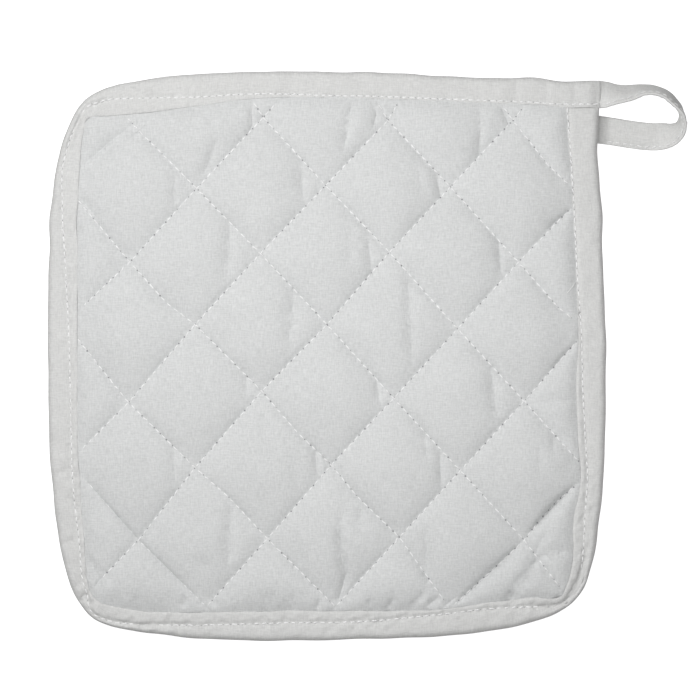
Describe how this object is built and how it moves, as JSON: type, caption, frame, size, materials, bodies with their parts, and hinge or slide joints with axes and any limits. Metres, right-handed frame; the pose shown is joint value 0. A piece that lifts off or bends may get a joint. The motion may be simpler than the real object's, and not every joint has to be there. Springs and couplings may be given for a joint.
{
  "type": "quilted hot pad",
  "caption": "Square quilted cotton hot pad with diamond stitching, a folded strip bound round its edge and a hanging loop at one corner.",
  "frame": {"origin": "middle of the central diamond's flat underside, on the surface that the pad lies on", "axes": "+Z out of the quilted face, +X towards the side that the loop sticks out of, +Y towards the edge that the loop's strip runs along"},
  "size_m": [0.2253, 0.2011, 0.0099],
  "materials": {
    "quilted_pad": "matt white cotton, quilted",
    "binding": "matt white cotton strip",
    "hanging_loop": "matt white cotton strip"
  },
  "bodies": {
    "root": {"quilted_pad": "quilted_pad", "binding": "binding", "hanging_loop": "hanging_loop"}
  },
  "joints": []
}
